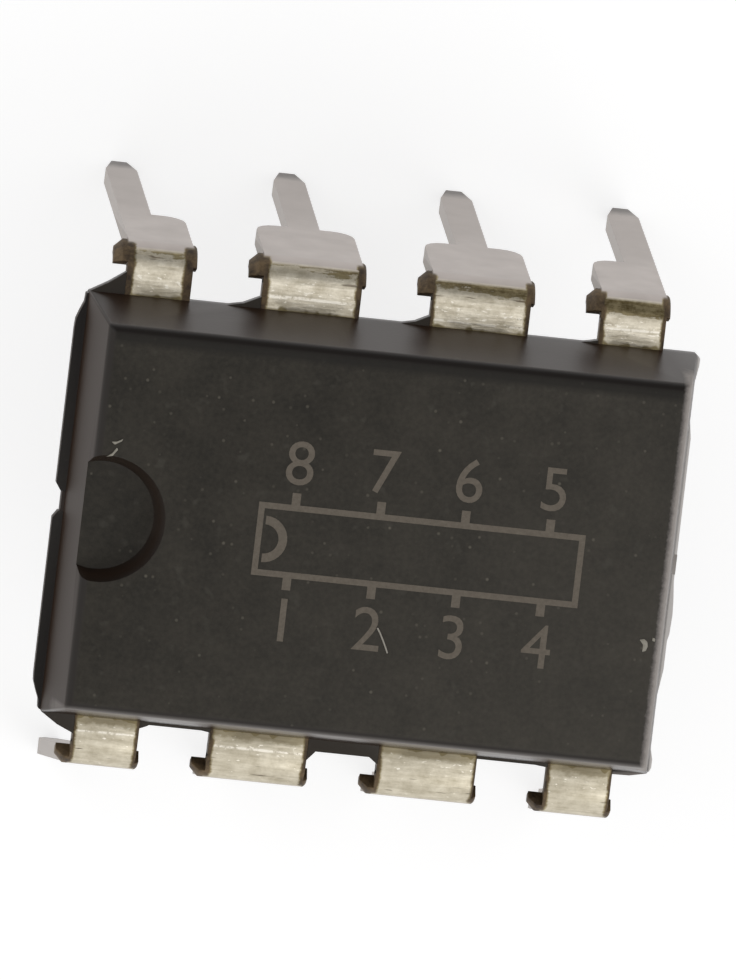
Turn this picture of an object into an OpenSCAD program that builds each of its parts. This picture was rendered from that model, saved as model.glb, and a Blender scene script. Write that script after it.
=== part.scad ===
// Eight-lead moulded plastic dual in-line chip, standing on its lead tips.
// Millimetres. +Z is up, +X runs along the body away from the notch, z = 0 is the lead tips.
// Leads 1 to 4 run along the -Y side from the notch end, leads 5 to 8 come back along +Y.

/* [Body] */
// Length of the moulded body at the parting line
body_l = 9.16; // [9:0.02:10.2]
// Width of the moulded body at the parting line
body_w = 6.35; // [6.1:0.05:6.6]
// Height of the moulded body, underside to top face
body_h = 3.3; // [2.9:0.1:3.9]
// Draft of the two end walls, in degrees from upright
end_draft = 8.5; // [3:0.5:14]
// Draft of the two side walls, in degrees from upright
side_draft = 11; // [3:0.5:14]
// Radius of the body's upright corners
corner_r = 0.04; // [0.02:0.01:0.15]
// Radius where the walls meet the top face and the underside
edge_r = 0.14; // [0.05:0.01:0.2]

/* [Notch] */
// Radius of the orientation notch at the top face
notch_r = 0.95; // [0.6:0.05:1.2]
// Depth of the orientation notch
notch_depth = 0.4; // [0.2:0.05:0.6]
// How far the notch narrows from the top face to its floor
notch_taper = 0.14; // [0:0.02:0.2]
// How far the notch centre lies inside the edge of the top face
notch_inset = 0.2; // [0:0.01:0.3]

/* [Leads outside the body] */
// Spacing of the leads along the body
pitch = 2.54; // [2.4:0.01:2.6]
// Distance over the shoulders of the two rows of leads
shoulder_span = 7.92; // [7.7:0.02:8.2]
// Thickness of the lead frame
lead_t = 0.25; // [0.2:0.01:0.3]
// Width of a lead where it leaves the body
shoulder_w = 1.48; // [1.2:0.02:1.7]
// Width of the narrow part that goes through the board
tip_w = 0.48; // [0.4:0.02:0.56]
// Length of the narrow part below the seating plane
tip_l = 3.3; // [2.9:0.1:3.8]
// Gap between the seating plane and the underside of the body
standoff = 0.38; // [0.3:0.02:0.6]
// Inside radius of the bend at the shoulder
bend_r = 0.2; // [0.12:0.01:0.22]
// How far the legs lean outwards, in degrees
lead_splay = 7; // [0:1:10]
// How far lead 8 is bent back in from the others, in degrees
bent_in = 1; // [0:0.5:3]
// Radius of the outer corners where the wide part ends
step_r = 0.32; // [0.1:0.02:0.34]
// Length of the lead's point
point_l = 0.5; // [0.1:0.05:0.9]
// How far each edge comes in along the point
point_in = 0.12; // [0.04:0.01:0.18]
// Length of the tie-bar stub left on each lead's -X edge
stub_left = 0.21; // [0.1:0.01:0.25]
// Length of the tie-bar stub left on each lead's +X edge
stub_right = 0.06; // [0.02:0.01:0.25]

/* [Lead frame inside the body] */
// Length of a lead's full-width anchor inside the wall
anchor_l = 0.8; // [0.6:0.05:0.95]
// Diameter of the locking hole in each anchor
lock_d = 0.4; // [0.2:0.05:0.5]
// Width of the finger that reaches from an anchor to the die
finger_w = 0.7; // [0.4:0.05:0.9]
// Gap between the fingers and the die paddle
finger_gap = 0.25; // [0.15:0.05:0.35]
// Length of the die paddle
paddle_l = 3.2; // [2.6:0.1:3.6]
// Width of the die paddle
paddle_w = 2.1; // [1.8:0.1:2.4]
// How far the paddle is pressed below the fingers
paddle_drop = 0.2; // [0:0.05:0.3]
// Width of the bars that hold the paddle to the ends of the body
tie_w = 0.3; // [0.2:0.05:0.4]
// How far those bars stand out of the ends of the body, where they were cut off
tie_stub = 0.05; // [0.01:0.01:0.1]
// Length of the flat part of those bars inside the end walls
tie_flat_l = 0.86; // [0.6:0.02:1]

/* [Die and wires] */
// Length of the silicon die
die_l = 1.9; // [1.4:0.1:2.2]
// Width of the silicon die
die_w = 1.4; // [1:0.1:1.6]
// Thickness of the silicon die
die_t = 0.3; // [0.2:0.02:0.4]
// Thickness of the adhesive under the die
attach_t = 0.03; // [0.02:0.01:0.06]
// How far the adhesive shows round the die
attach_rim = 0.08; // [0.02:0.01:0.15]
// Diameter of the bond wires
wire_d = 0.034; // [0.03:0.001:0.05]
// Height of each wire's arch over the line between its ends
wire_rise = 0.3; // [0.2:0.02:0.45]
// Diameter of the ball and the stitch at the ends of each wire
bond_d = 0.1; // [0.09:0.01:0.14]
// Thickness of the ball and the stitch
bond_t = 0.045; // [0.04:0.005:0.06]

/* [Moulding flash] */
// Width of the flash left along the notch end
flash_w = 0.15; // [0.05:0.01:0.25]
// Width of the thin lip left along the other end
lip_w = 0.04; // [0.01:0.01:0.08]
// Thickness of the flash, down from the top of the lead frame
flash_t = 0.2; // [0.1:0.01:0.2]
// Width of the gap in the flash round the cut tie bar
flash_gap_w = 0.52; // [0.4:0.02:0.8]
// Width of the flash left between leads 2 and 3
bridge_w = 0.18; // [0.05:0.01:0.25]
// Width of the flash left between leads 1 and 2, and 3 and 4
seam_w = 0.04; // [0.01:0.01:0.06]
// Reach along the wall of the longest web of flash beside a lead
web_reach = 0.5; // [0.3:0.05:0.6]
// How far the tallest web stands out along its lead
web_rise = 0.3; // [0.1:0.02:0.32]

/* [Hidden] */
$fn = 48;

leads_per_side = 4;
lead_count = 2 * leads_per_side;
// How far the pieces of one solid run into each other
join = 0.1;

// Heights, up from the lead tips
under_z = tip_l + standoff;
top_z = under_z + body_h;
half_h = (body_h - lead_t) / 2;
frame_low_z = under_z + half_h;
frame_top_z = frame_low_z + lead_t;

// How far an end wall leans in over one half of the moulding
end_lean = half_h * tan(end_draft);
end_x = body_l / 2;
wall_y = body_w / 2;

// The bend: its radii, its centre and its turn
bend_mid_r = bend_r + lead_t / 2;
bend_out_r = bend_r + lead_t;
bend_y = shoulder_span / 2 - bend_out_r * cos(lead_splay);
bend_z = frame_top_z - bend_out_r;
function bend_turn(n) = 90 - lead_splay + (n == lead_count ? bent_in : 0);
// The leg below a bend of that turn: height of its start, length of its wide part, and whole length
function leg_top_z(turn) = bend_z + bend_mid_r * cos(turn);
function wide_l(turn) = (leg_top_z(turn) - tip_l) / sin(turn);
function leg_l(turn) = (leg_top_z(turn) - lead_t / 2 * cos(turn)) / sin(turn);
// Where the stubs start round the bend in the front row and in the back row
front_stub_from = 45;
back_stub_from = 20;
// Share of a stub's length that the cutter rolled over
stub_roll = 0.6;

// Inside the body
corner_x = (leads_per_side - 1) / 2 * pitch;
anchor_y = wall_y - anchor_l;
finger_x = paddle_l / 2 + finger_gap;
finger_y = paddle_w / 2 + finger_gap;
// Corner of the slanted fingers, beside the paddle's tie bars
slant_l = 0.5;
paddle_top_z = frame_top_z - paddle_drop;
ramp_from = end_x - tie_flat_l;
ramp_to = max(paddle_l / 2, ramp_from - 2 * paddle_drop);
die_z = paddle_top_z + attach_t;
die_top_z = die_z + die_t;
// How far the bonds lie inside the edges of the die and of the fingers
bond_inset = 0.13;
// Places of the other bonds on the die, as shares of its width and length
corner_bond_share = 0.3;
middle_bond_share = 0.27;

// How far each piece of flash runs into the body that it grew from
flash_root = 0.15;
// Outline of the flash on one half of the notch end, from the corner in, and the runs of lip that are left
// on the other end. Each point has a share of half the body's width, and a share of the flash's own width.
NOTCH_END = [[0.99, 0.1], [0.985, 0.22], [0.945, 0.28], [0.9, 0.66], [0.86, 0.95], [0.82, 1]];
LIPS = [
    [[0.99, 0.3], [0.98, 1], [0.945, 0.9], [0.87, 0]],
    [
        [0.68, 0], [0.6, 1], [-0.08, 1.1], [-0.17, 1.8], [-0.24, 2.1],
        [-0.33, 1.8], [-0.365, 1.2], [-0.5, 1.2], [-0.62, 0]
    ],
    [[-0.88, 0], [-0.93, 1], [-0.97, 1], [-0.99, 0.3]]
];
// Webs of flash beside the leads: lead, direction along X, shares of the longest reach and tallest rise,
// and the share of its own rise that a web keeps at mid reach. On the end side, a web reaches to the corner.
WEBS = [
    [8, -1, 1, 1.1, 0.45], [1, -1, 1, 0.93, 0.6], [7, -1, 1, 0.57, 0.3], [6, -1, 0.84, 0.5, 0.3],
    [5, -1, 0.5, 0.17, 0.4], [4, -1, 0.7, 0.2, 0.7], [4, 1, 1, 0.2, 0.9], [2, -1, 0.5, 0.2, 0.7],
    [1, 1, 0.4, 0.35, 0.6], [2, 1, 0.44, 1.07, 0.6], [3, -1, 0.6, 0.93, 0.6]
];

function lead_x(n) = n <= leads_per_side
    ? (n - 1) * pitch - corner_x
    : corner_x - (n - leads_per_side - 1) * pitch;
function lead_side(n) = n <= leads_per_side ? -1 : 1;
function is_corner(n) = abs(abs(lead_x(n)) - corner_x) < pitch / 2;

// A corner lead is cut straight on the side that faces the end of the body
function edge_left(n) = is_corner(n) && lead_x(n) < 0 ? tip_w / 2 : shoulder_w / 2;
function edge_right(n) = is_corner(n) && lead_x(n) > 0 ? tip_w / 2 : shoulder_w / 2;

function reversed(points) = [for (i = [len(points) - 1:-1:0]) points[i]];
function mirrored(points) = [for (p = points) [-p[0], p[1]]];

// The body is one loft through rounded rectangles: steps round an upright corner and over an edge
CORNER_STEPS = 5;
EDGE_STEPS = 5;

function section(inset_x, inset_y, z) = [
    for (corner = [0:3])
        for (i = [0:CORNER_STEPS])
            let (
                turn = 90 * corner + 90 * i / CORNER_STEPS,
                sx = corner == 0 || corner == 3 ? 1 : -1,
                sy = corner < 2 ? 1 : -1
            )
            [
                sx * (end_x - inset_x - corner_r) + corner_r * cos(turn),
                sy * (wall_y - inset_y - corner_r) + corner_r * sin(turn),
                z
            ]
];

// Insets and heights of one half, from the lead frame out to its face; side is 1 above and -1 below
function half_sections(side) = let (base = side > 0 ? frame_top_z : frame_low_z) [
    for (i = [0:EDGE_STEPS])
        let (
            turn = 90 * i / EDGE_STEPS,
            rise = half_h - edge_r * (1 - sin(turn)),
            curl = edge_r * (1 - cos(turn))
        )
        section(rise * tan(end_draft) + curl, rise * tan(side_draft) + curl, base + side * rise)
];

module loft(sections) {
    count = len(sections[0]);
    last = len(sections) - 1;
    points = [for (s = sections) for (p = s) p];
    walls = [
        for (k = [0:last - 1])
            for (i = [0:count - 1])
                let (j = (i + 1) % count)
                [k * count + i, (k + 1) * count + i, (k + 1) * count + j, k * count + j]
    ];
    floor_face = [for (i = [0:count - 1]) i];
    top_face = [for (i = [count - 1:-1:0]) last * count + i];
    polyhedron(points = points, faces = concat([floor_face, top_face], walls));
}

module moulding() {
    loft(concat(
        reversed(half_sections(-1)),
        [section(0, 0, frame_low_z), section(0, 0, frame_top_z)],
        half_sections(1)
    ));
}

module notch() {
    widen = notch_taper * join / notch_depth;
    translate([-end_x + end_lean + notch_inset, 0, top_z - notch_depth])
        cylinder(
            h = notch_depth + join,
            r1 = notch_r - notch_taper,
            r2 = notch_r + widen
        );
}

// Flash squeezed out between the mould halves, as thick sheets at the height of the lead frame.
// A run lies along one end; its points have a place along Y and a reach out from the end wall.
module flash_run(direction, points) {
    last = len(points) - 1;
    polygon(concat(
        [[direction * (end_x - flash_root), points[0][0]]],
        [for (p = points) [direction * (end_x + p[1]), p[0]]],
        [[direction * (end_x - flash_root), points[last][0]]]
    ));
}

module notch_end_flash() {
    for (side = [-1, 1])
        flash_run(-1, concat(
            [for (p = NOTCH_END) [side * p[0] * wall_y, p[1] * flash_w]],
            [[side * flash_gap_w / 2, flash_w], [side * tie_w / 2, flash_w / 2]]
        ));
}

module far_end_lip() {
    for (run = LIPS)
        flash_run(1, [for (p = run) [p[0] * wall_y, p[1] * lip_w]]);
}

module web(n, direction, reach_share, rise_share, mid_share) {
    edge = lead_x(n) + (direction < 0 ? -edge_left(n) : edge_right(n));
    at_corner = is_corner(n) && direction * edge > 0;
    reach = at_corner ? end_x - corner_r / 2 - abs(edge) : reach_share * web_reach;
    rise = rise_share * web_rise;
    side = lead_side(n);
    polygon([
        [edge, side * (wall_y - flash_root)], [edge, side * (wall_y + rise)],
        [edge + direction * reach / 2, side * (wall_y + rise * mid_share)],
        [edge + direction * reach, side * wall_y],
        [edge + direction * reach, side * (wall_y - flash_root)]
    ]);
}

// Flash from lead n to the next one along the front row
module seam(n, width) {
    from = lead_x(n) + edge_right(n);
    to = lead_x(n + 1) - edge_left(n + 1);
    translate([from, -wall_y - width]) square([to - from, width + flash_root]);
}

module flash() {
    translate([0, 0, frame_top_z - flash_t])
        linear_extrude(flash_t) {
            notch_end_flash();
            far_end_lip();
            seam(1, seam_w);
            seam(2, bridge_w);
            seam(3, seam_w);
            for (w = WEBS)
                web(w[0], w[1], w[2], w[3], w[4]);
        }
}

// One edge of a leg, drawn flat with Y down the leg: the wide part, its rounded corner and the point
function leg_side(half_w, turn) = concat(
    [[half_w, 0]],
    half_w > tip_w / 2
        ? concat(
            [
                for (i = [0:22.5:90])
                    [half_w - step_r * (1 - cos(i)), wide_l(turn) - step_r * (1 - sin(i))]
            ],
            [[tip_w / 2, wide_l(turn)]]
        )
        : [],
    [[tip_w / 2, leg_l(turn) - point_l], [tip_w / 2 - point_in, leg_l(turn)]]
);

module leg(left, right, turn) {
    translate([0, bend_y, bend_z])
        rotate([-turn, 0, 0])
            translate([0, 0, bend_r])
                linear_extrude(lead_t)
                    polygon(concat(leg_side(right, turn), reversed(mirrored(leg_side(left, turn)))));
}

// Turns a section round the bend, from one angle to another; its X is the radius and its Y runs along +X
module round_bend(turn_from, turn_to) {
    translate([0, bend_y, bend_z])
        rotate([90, 0, 90])
            rotate([0, 0, 90 - turn_to])
                rotate_extrude(angle = turn_to - turn_from)
                    children();
}

module bend(left, right, turn) {
    round_bend(0, turn)
        translate([bend_r, -left]) square([lead_t, left + right]);
}

// What is left of the bar that joined the leads while the body was moulded, rolled over by the cutter
module stub(edge, direction, length, from, turn) {
    end = edge + direction * length;
    roll = length * stub_roll;
    round_bend(from, turn)
        polygon([
            [bend_r, edge - direction * join], [bend_r, end], [bend_out_r - roll, end],
            [bend_out_r, end - direction * roll], [bend_out_r, edge - direction * join]
        ]);
}

module shoulder(left, right) {
    translate([-left, wall_y - join, frame_low_z])
        cube([left + right, bend_y - wall_y + join, lead_t]);
}

module middle_finger(left, right) {
    translate([-left, anchor_y]) square([left + right, anchor_l]);
    translate([-finger_w / 2, finger_y]) square([finger_w, anchor_y - finger_y + join]);
}

// Slanted towards the paddle's end; drawn for the corner on the +X side, then turned to its place
module corner_finger(n) {
    direction = lead_x(n) < 0 ? -1 : 1;
    outer = tip_w / 2;
    inner = -shoulder_w / 2;
    end_from = finger_x - corner_x;
    end_low_y = tie_w / 2 + finger_gap;
    polygon([
        for (p = [
            [outer, wall_y], [inner, wall_y], [inner, anchor_y],
            [end_from + slant_l, finger_y], [end_from, finger_y - finger_gap],
            [end_from, end_low_y], [end_from + slant_l, end_low_y],
            [outer - slant_l / 2, anchor_y - slant_l], [outer, anchor_y]
        ]) [direction * p[0], p[1]]
    ]);
}

module finger(n) {
    lock_x = (edge_right(n) - edge_left(n)) / 2;
    translate([0, 0, frame_low_z])
        linear_extrude(lead_t)
            difference() {
                if (is_corner(n)) corner_finger(n);
                else middle_finger(edge_left(n), edge_right(n));
                translate([lock_x, wall_y - anchor_l / 2]) circle(d = lock_d);
            }
}

// One lead, drawn for the +Y side with its middle at x = 0, then put in its place
module lead_shape(n) {
    left = edge_left(n);
    right = edge_right(n);
    turn = bend_turn(n);
    stub_from = lead_side(n) < 0 ? front_stub_from : back_stub_from;
    translate([lead_x(n), 0, 0])
        mirror([0, lead_side(n) < 0 ? 1 : 0, 0])
            union() {
                finger(n);
                shoulder(left, right);
                bend(left, right, turn);
                leg(left, right, turn);
                stub(-left, -1, stub_left, stub_from, turn);
                stub(right, 1, stub_right, stub_from, turn);
            }
}

// Paddle pressed below the leads, with a bar to each end of the body
module paddle_shape() {
    translate([-paddle_l / 2, -paddle_w / 2, paddle_top_z - lead_t])
        cube([paddle_l, paddle_w, lead_t]);
    for (direction = [-1, 1])
        translate([0, tie_w / 2, 0])
            rotate([90, 0, 0])
                linear_extrude(tie_w)
                    polygon([
                        for (p = [
                            [paddle_l / 2 - join, paddle_top_z], [ramp_to, paddle_top_z],
                            [ramp_from, frame_top_z], [end_x + tie_stub, frame_top_z],
                            [end_x + tie_stub, frame_low_z], [ramp_from, frame_low_z],
                            [ramp_to, paddle_top_z - lead_t], [paddle_l / 2 - join, paddle_top_z - lead_t]
                        ]) [direction * p[0], p[1]]
                    ]);
}

module attach_shape() {
    length = die_l + 2 * attach_rim;
    width = die_w + 2 * attach_rim;
    translate([-length / 2, -width / 2, paddle_top_z]) cube([length, width, attach_t]);
}

module die_shape() {
    translate([-die_l / 2, -die_w / 2, die_z]) cube([die_l, die_w, die_t]);
}

// Where a wire meets the die and its lead's finger
function die_bond(n) = is_corner(n)
    ? [sign(lead_x(n)) * (die_l / 2 - bond_inset), lead_side(n) * die_w * corner_bond_share]
    : [sign(lead_x(n)) * die_l * middle_bond_share, lead_side(n) * (die_w / 2 - bond_inset)];
function finger_bond(n) = is_corner(n)
    ? [sign(lead_x(n)) * (finger_x + bond_inset), lead_side(n) * (paddle_w / 2 + tie_w / 2) / 2]
    : [lead_x(n), lead_side(n) * (finger_y + bond_inset)];

module bond(x, y, z) {
    translate([x, y, z]) cylinder(h = bond_t, d = bond_d);
}

// An arc of round wire, in an upright plane, from the ball on the die to the stitch on the finger
module wire_shape(n) {
    from = die_bond(n);
    to = finger_bond(n);
    run = norm(to - from);
    fall = die_top_z - frame_top_z;
    chord = norm([run, fall]);
    arc_r = (chord * chord / 4 + wire_rise * wire_rise) / (2 * wire_rise);
    half_turn = asin(chord / (2 * arc_r));
    bond(from[0], from[1], die_top_z);
    bond(to[0], to[1], frame_top_z);
    translate([from[0], from[1], die_top_z + bond_t / 2])
        rotate([0, atan2(fall, run), atan2(to[1] - from[1], to[0] - from[0])])
            translate([chord / 2, 0, wire_rise - arc_r])
                rotate([90, 0, 0])
                    rotate([0, 0, 90 - half_turn])
                        rotate_extrude(angle = 2 * half_turn)
                            translate([arc_r, 0])
                                circle(d = wire_d, $fn = 24);
}

module package_body() {
    color("#36332f")
        difference() {
            union() {
                moulding();
                flash();
            }
            notch();
            for (n = [1:lead_count]) {
                lead_shape(n);
                wire_shape(n);
            }
            paddle_shape();
            attach_shape();
            die_shape();
        }
}

module lead(n) {
    color("#cbc2ad") lead_shape(n);
}

module die_paddle() {
    color("#b8763e") paddle_shape();
}

module die_attach() {
    color("#b9bcc0") attach_shape();
}

module silicon_die() {
    color("#5d6672") die_shape();
}

module bond_wire(n) {
    color("#d9b04a") wire_shape(n);
}

package_body();
for (n = [1:lead_count]) {
    lead(n);
    bond_wire(n);
}
die_paddle();
die_attach();
silicon_die();
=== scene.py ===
import math
from types import SimpleNamespace

import bmesh
import bpy
from mathutils import Euler, Matrix, Vector


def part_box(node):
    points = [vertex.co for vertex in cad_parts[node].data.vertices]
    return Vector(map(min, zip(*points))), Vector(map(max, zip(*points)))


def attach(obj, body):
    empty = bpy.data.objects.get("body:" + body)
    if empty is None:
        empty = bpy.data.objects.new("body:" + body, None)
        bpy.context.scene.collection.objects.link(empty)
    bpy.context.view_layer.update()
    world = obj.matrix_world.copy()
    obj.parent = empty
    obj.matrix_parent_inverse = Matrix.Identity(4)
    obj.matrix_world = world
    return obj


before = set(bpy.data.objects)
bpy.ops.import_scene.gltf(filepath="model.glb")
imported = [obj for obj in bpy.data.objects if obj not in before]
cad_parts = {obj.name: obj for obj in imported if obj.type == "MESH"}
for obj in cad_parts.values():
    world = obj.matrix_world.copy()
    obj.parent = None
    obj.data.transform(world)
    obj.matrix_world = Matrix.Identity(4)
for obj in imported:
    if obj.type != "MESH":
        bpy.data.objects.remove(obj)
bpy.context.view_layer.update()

# Sizes are in millimetres; everything in the scene is in metres
MM = 0.001
LEADS = [f"lead_{n}" for n in range(1, 9)]
WIRES = [f"bond_wire_{n}" for n in range(1, 9)]

# Heights that the frame gives: the top face, and the top of the lead frame
top_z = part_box("package_body")[1].z / MM
frame_top_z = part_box("lead_1")[1].z / MM
# The body's end walls and side walls at the lead frame's height
END_X = 4.58
WALL_Y = 3.175
# The step between leads, and a corner lead's place along X
PITCH = 2.54
CORNER_X = 1.5 * PITCH
# Half the widths of a lead's shoulder and of its narrow part
SHOULDER_HALF = 0.74
NARROW_HALF = 0.24

# The camera, fitted to the photograph: turns from straight above, in degrees, its place and its lens
CAMERA_TURN = (-8.156, -5.458, 6.744)
CAMERA_DISTANCE = 415.9
CAMERA_SHIFT = (-0.016, 0.636)
CAMERA_NEAR = 1
CAMERA_FAR = 5000
PIXELS_PER_MM = 67.195
IMAGE_HEIGHT = 980
SENSOR = 36.0


def srgb(code):
    """Linear colour from an sRGB hex value."""
    parts = [int(code[i:i + 2], 16) / 255 for i in (1, 3, 5)]
    linear = [p / 12.92 if p <= 0.04045 else ((p + 0.055) / 1.055) ** 2.4 for p in parts]
    return (*linear, 1.0)


def add(nodes, kind, inputs=None, **settings):
    """Adds a node; settings are its properties, and inputs are values, or nodes or sockets to link."""
    node = nodes.new(kind)
    for name, value in settings.items():
        setattr(node, name, value)
    for name, value in (inputs or {}).items():
        if isinstance(value, bpy.types.Node):
            value = next(socket for socket in value.outputs if socket.enabled)
        if isinstance(value, bpy.types.NodeSocket):
            nodes.id_data.links.new(value, node.inputs[name])
        else:
            node.inputs[name].default_value = value
    return node


def new_material(name):
    """An empty material, the place on a piece in millimetres, and that place and the normal in three."""
    material = bpy.data.materials.new(name)
    material.use_nodes = True
    nodes = material.node_tree.nodes
    nodes.clear()
    coords = add(nodes, "ShaderNodeTexCoord")
    place = add(nodes, "ShaderNodeMapping", {"Vector": coords.outputs["Object"], "Scale": (1 / MM,) * 3})
    spot = add(nodes, "ShaderNodeSeparateXYZ", {"Vector": place}).outputs
    facing = add(nodes, "ShaderNodeSeparateXYZ", {"Vector": coords.outputs["Normal"]}).outputs
    return material, nodes, place, spot, facing


# Widths of the patterns in the resin, and the grain's depth. The real grain, from the spark-eroded mould,
# is finer than this, and it is drawn as coarse as it needs to show
SPARK_GRAIN = 1 / 13
CLOUD = 1 / 1.3
SMUDGE = 0.25
SILICA_STEP = 1 / 6.5
SHEEN_PATCH = 0.4
GRAIN_DEPTH = 0.008
# Where the flat top face ends along Y, and where the far end's upper edge has a painted pale highlight
# along X
FACE_EDGE_Y = 2.74
SHEEN_FROM = 4.29
SHEEN_TO = 4.38
# How far the grain makes the edge of the painted highlight ragged
SHEEN_RAGGED = 0.08


def moulded_face(nodes, place, spot, grain):
    """The top face: mottled, smudged, with painted light making it paler towards one corner, and grains of
    silica at its surface.
    """
    cloud = add(nodes, "ShaderNodeTexNoise",
                {"Vector": place, "Scale": 1 / CLOUD, "Detail": 3.0, "Roughness": 0.6})
    mottle = add(nodes, "ShaderNodeMath", {0: grain, 1: cloud}, operation="ADD")
    mottle = add(nodes, "ShaderNodeMapRange", {"Value": mottle, "From Min": 0.72, "From Max": 1.28})
    face = add(nodes, "ShaderNodeMix", {"Factor": mottle, "A": srgb("#221f19"), "B": srgb("#37332c")},
               data_type="RGBA")
    # Painted light: the face is paler towards the far end and the front row
    painted_light_slope = add(nodes, "ShaderNodeMath", {0: spot["Y"], 1: -0.9, 2: spot["X"]},
                operation="MULTIPLY_ADD")
    painted_light_slope = add(nodes, "ShaderNodeMapRange",
                {"Value": painted_light_slope, "From Min": -3.0, "From Max": 6.0, "To Max": 0.1})
    face = add(nodes, "ShaderNodeMix", {"Factor": painted_light_slope, "A": face, "B": srgb("#8a857c")},
               data_type="RGBA")
    smudge = add(nodes, "ShaderNodeTexNoise",
                 {"Vector": place, "Scale": 1 / SMUDGE, "Detail": 2.0, "Roughness": 0.5})
    smudge = add(nodes, "ShaderNodeMapRange",
                 {"Value": smudge, "From Min": 0.62, "From Max": 0.75, "To Max": 0.5})
    face = add(nodes, "ShaderNodeMix", {"Factor": smudge, "A": face, "B": srgb("#47443d")},
               data_type="RGBA")
    cells = add(nodes, "ShaderNodeTexVoronoi", {"Vector": place, "Scale": 1 / SILICA_STEP})
    silica = add(nodes, "ShaderNodeMapRange",
                 {"Value": cells.outputs["Distance"], "From Min": 0.08, "From Max": 0.2, "To Min": 1.0,
                  "To Max": 0.0})
    # Only some of the grains lie bare
    bare = add(nodes, "ShaderNodeMapRange",
               {"Value": cells.outputs["Color"], "From Min": 0.55, "From Max": 0.92, "To Max": 0.8})
    silica = add(nodes, "ShaderNodeMath", {0: silica, 1: bare}, operation="MULTIPLY")
    face = add(nodes, "ShaderNodeMix", {"Factor": silica, "A": face, "B": srgb("#6a655a")},
               data_type="RGBA")
    # It darkens just before its edge at the back row: a painted dark reflection of the rounded edge
    painted_edge_shade = add(nodes, "ShaderNodeMapRange",
                  {"Value": spot["Y"], "From Min": FACE_EDGE_Y - 0.15, "From Max": FACE_EDGE_Y - 0.04,
                   "To Max": 0.8})
    return add(nodes, "ShaderNodeMix", {"Factor": painted_edge_shade, "A": face, "B": srgb("#15120e")},
               data_type="RGBA")


def rubbed_edges(nodes, place, spot, grain):
    """1 where a pale highlight is painted on the resin: the far end's upper edge, and faintly the front
    row's.
    """
    ragged_x = add(nodes, "ShaderNodeMath", {0: grain, 1: SHEEN_RAGGED, 2: spot["X"]},
                  operation="MULTIPLY_ADD")
    far_end = add(nodes, "ShaderNodeMapRange",
                  {"Value": ragged_x, "From Min": SHEEN_FROM, "From Max": SHEEN_TO})
    front = add(nodes, "ShaderNodeMapRange",
                {"Value": spot["Y"], "From Min": -FACE_EDGE_Y - 0.09, "From Max": -FACE_EDGE_Y - 0.15,
                 "To Max": 0.32})
    edge_sheen = add(nodes, "ShaderNodeMath", {0: far_end, 1: front}, operation="MAXIMUM")
    # It thins out in patches, less than a millimetre below the top
    patch = add(nodes, "ShaderNodeTexNoise",
                {"Vector": place, "Scale": 1 / SHEEN_PATCH, "Detail": 4.0, "Roughness": 0.65})
    high = add(nodes, "ShaderNodeMath", {0: patch, 1: 0.9, 2: spot["Z"]}, operation="MULTIPLY_ADD")
    high = add(nodes, "ShaderNodeMapRange",
               {"Value": high, "From Min": top_z - 0.5, "From Max": top_z - 0.15})
    return add(nodes, "ShaderNodeMath", {0: edge_sheen, 1: high}, operation="MULTIPLY")


def flash_skin(nodes, spot):
    """The colour of the flash, with painted shade darkest along the notch end and painted light at the
    front row's far corner.
    """
    notch_end_shade = add(nodes, "ShaderNodeMapRange",
                   {"Value": spot["X"], "From Min": 0.02 - END_X, "From Max": 0.04 - END_X,
                    "To Min": 1.0, "To Max": 0.0})
    skin = add(nodes, "ShaderNodeMix", {"Factor": notch_end_shade, "A": srgb("#37312a"), "B": srgb("#140f0c")},
               data_type="RGBA")
    far_corner_light = add(nodes, "ShaderNodeMath", {0: spot["Y"], 1: -0.5, 2: spot["X"]},
                     operation="MULTIPLY_ADD")
    far_corner_light = add(nodes, "ShaderNodeMapRange",
                     {"Value": far_corner_light, "From Min": END_X + 0.7, "From Max": END_X + 1.1})
    return add(nodes, "ShaderNodeMix", {"Factor": far_corner_light, "A": skin, "B": srgb("#8d8681")},
               data_type="RGBA")


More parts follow.
